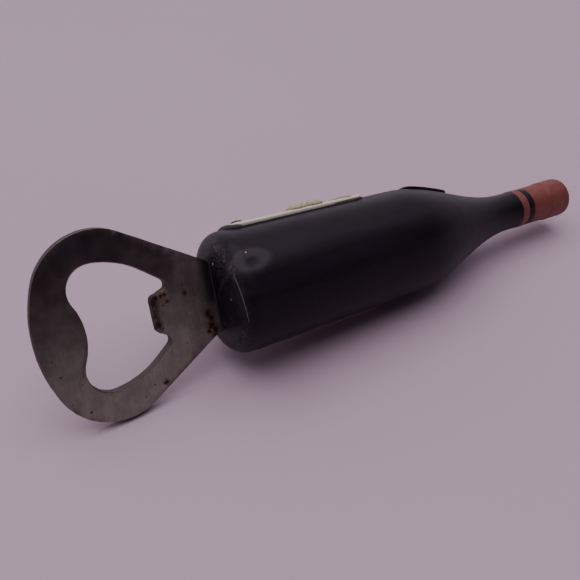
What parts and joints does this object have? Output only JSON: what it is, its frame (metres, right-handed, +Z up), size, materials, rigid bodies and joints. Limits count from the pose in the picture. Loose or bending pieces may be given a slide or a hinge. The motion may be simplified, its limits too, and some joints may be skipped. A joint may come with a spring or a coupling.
{
  "type": "bottle opener",
  "caption": "Crown-cap opener: a stamped steel ring with a lifting tooth, set in a handle cast as a small wine bottle with a raised label and a copper capsule.",
  "frame": {"origin": "on the table top, under the middle of the part's box as it lies at rest", "axes": "+X along the bottle from its base towards its neck, +Z up, +Y towards the label side; the axis dips 4.6 degrees towards the neck and the steel plate leans back 25.8 degrees from upright"},
  "size_m": [0.15, 0.029, 0.0382],
  "materials": {
    "opener_plate": "brushed, worn, a few rust spots",
    "tang_adhesive": "cured, dull",
    "bottle_body": "satin",
    "label_panel": "matte paint",
    "label_border": "matte paint",
    "label_relief": "matte, brown in the hollows",
    "shoulder_label": "satin",
    "capsule_stripe": "matte copper paint",
    "capsule_band": "satin",
    "capsule": "matte copper paint, worn"
  },
  "bodies": {
    "root": {"opener_plate": "opener_plate", "tang_adhesive": "tang_adhesive", "bottle_body": "bottle_body", "label_panel": "label_panel", "label_border": "label_border", "label_relief": "label_relief", "shoulder_label": "shoulder_label", "capsule_stripe": "capsule_stripe", "capsule_band": "capsule_band", "capsule": "capsule"}
  },
  "joints": []
}
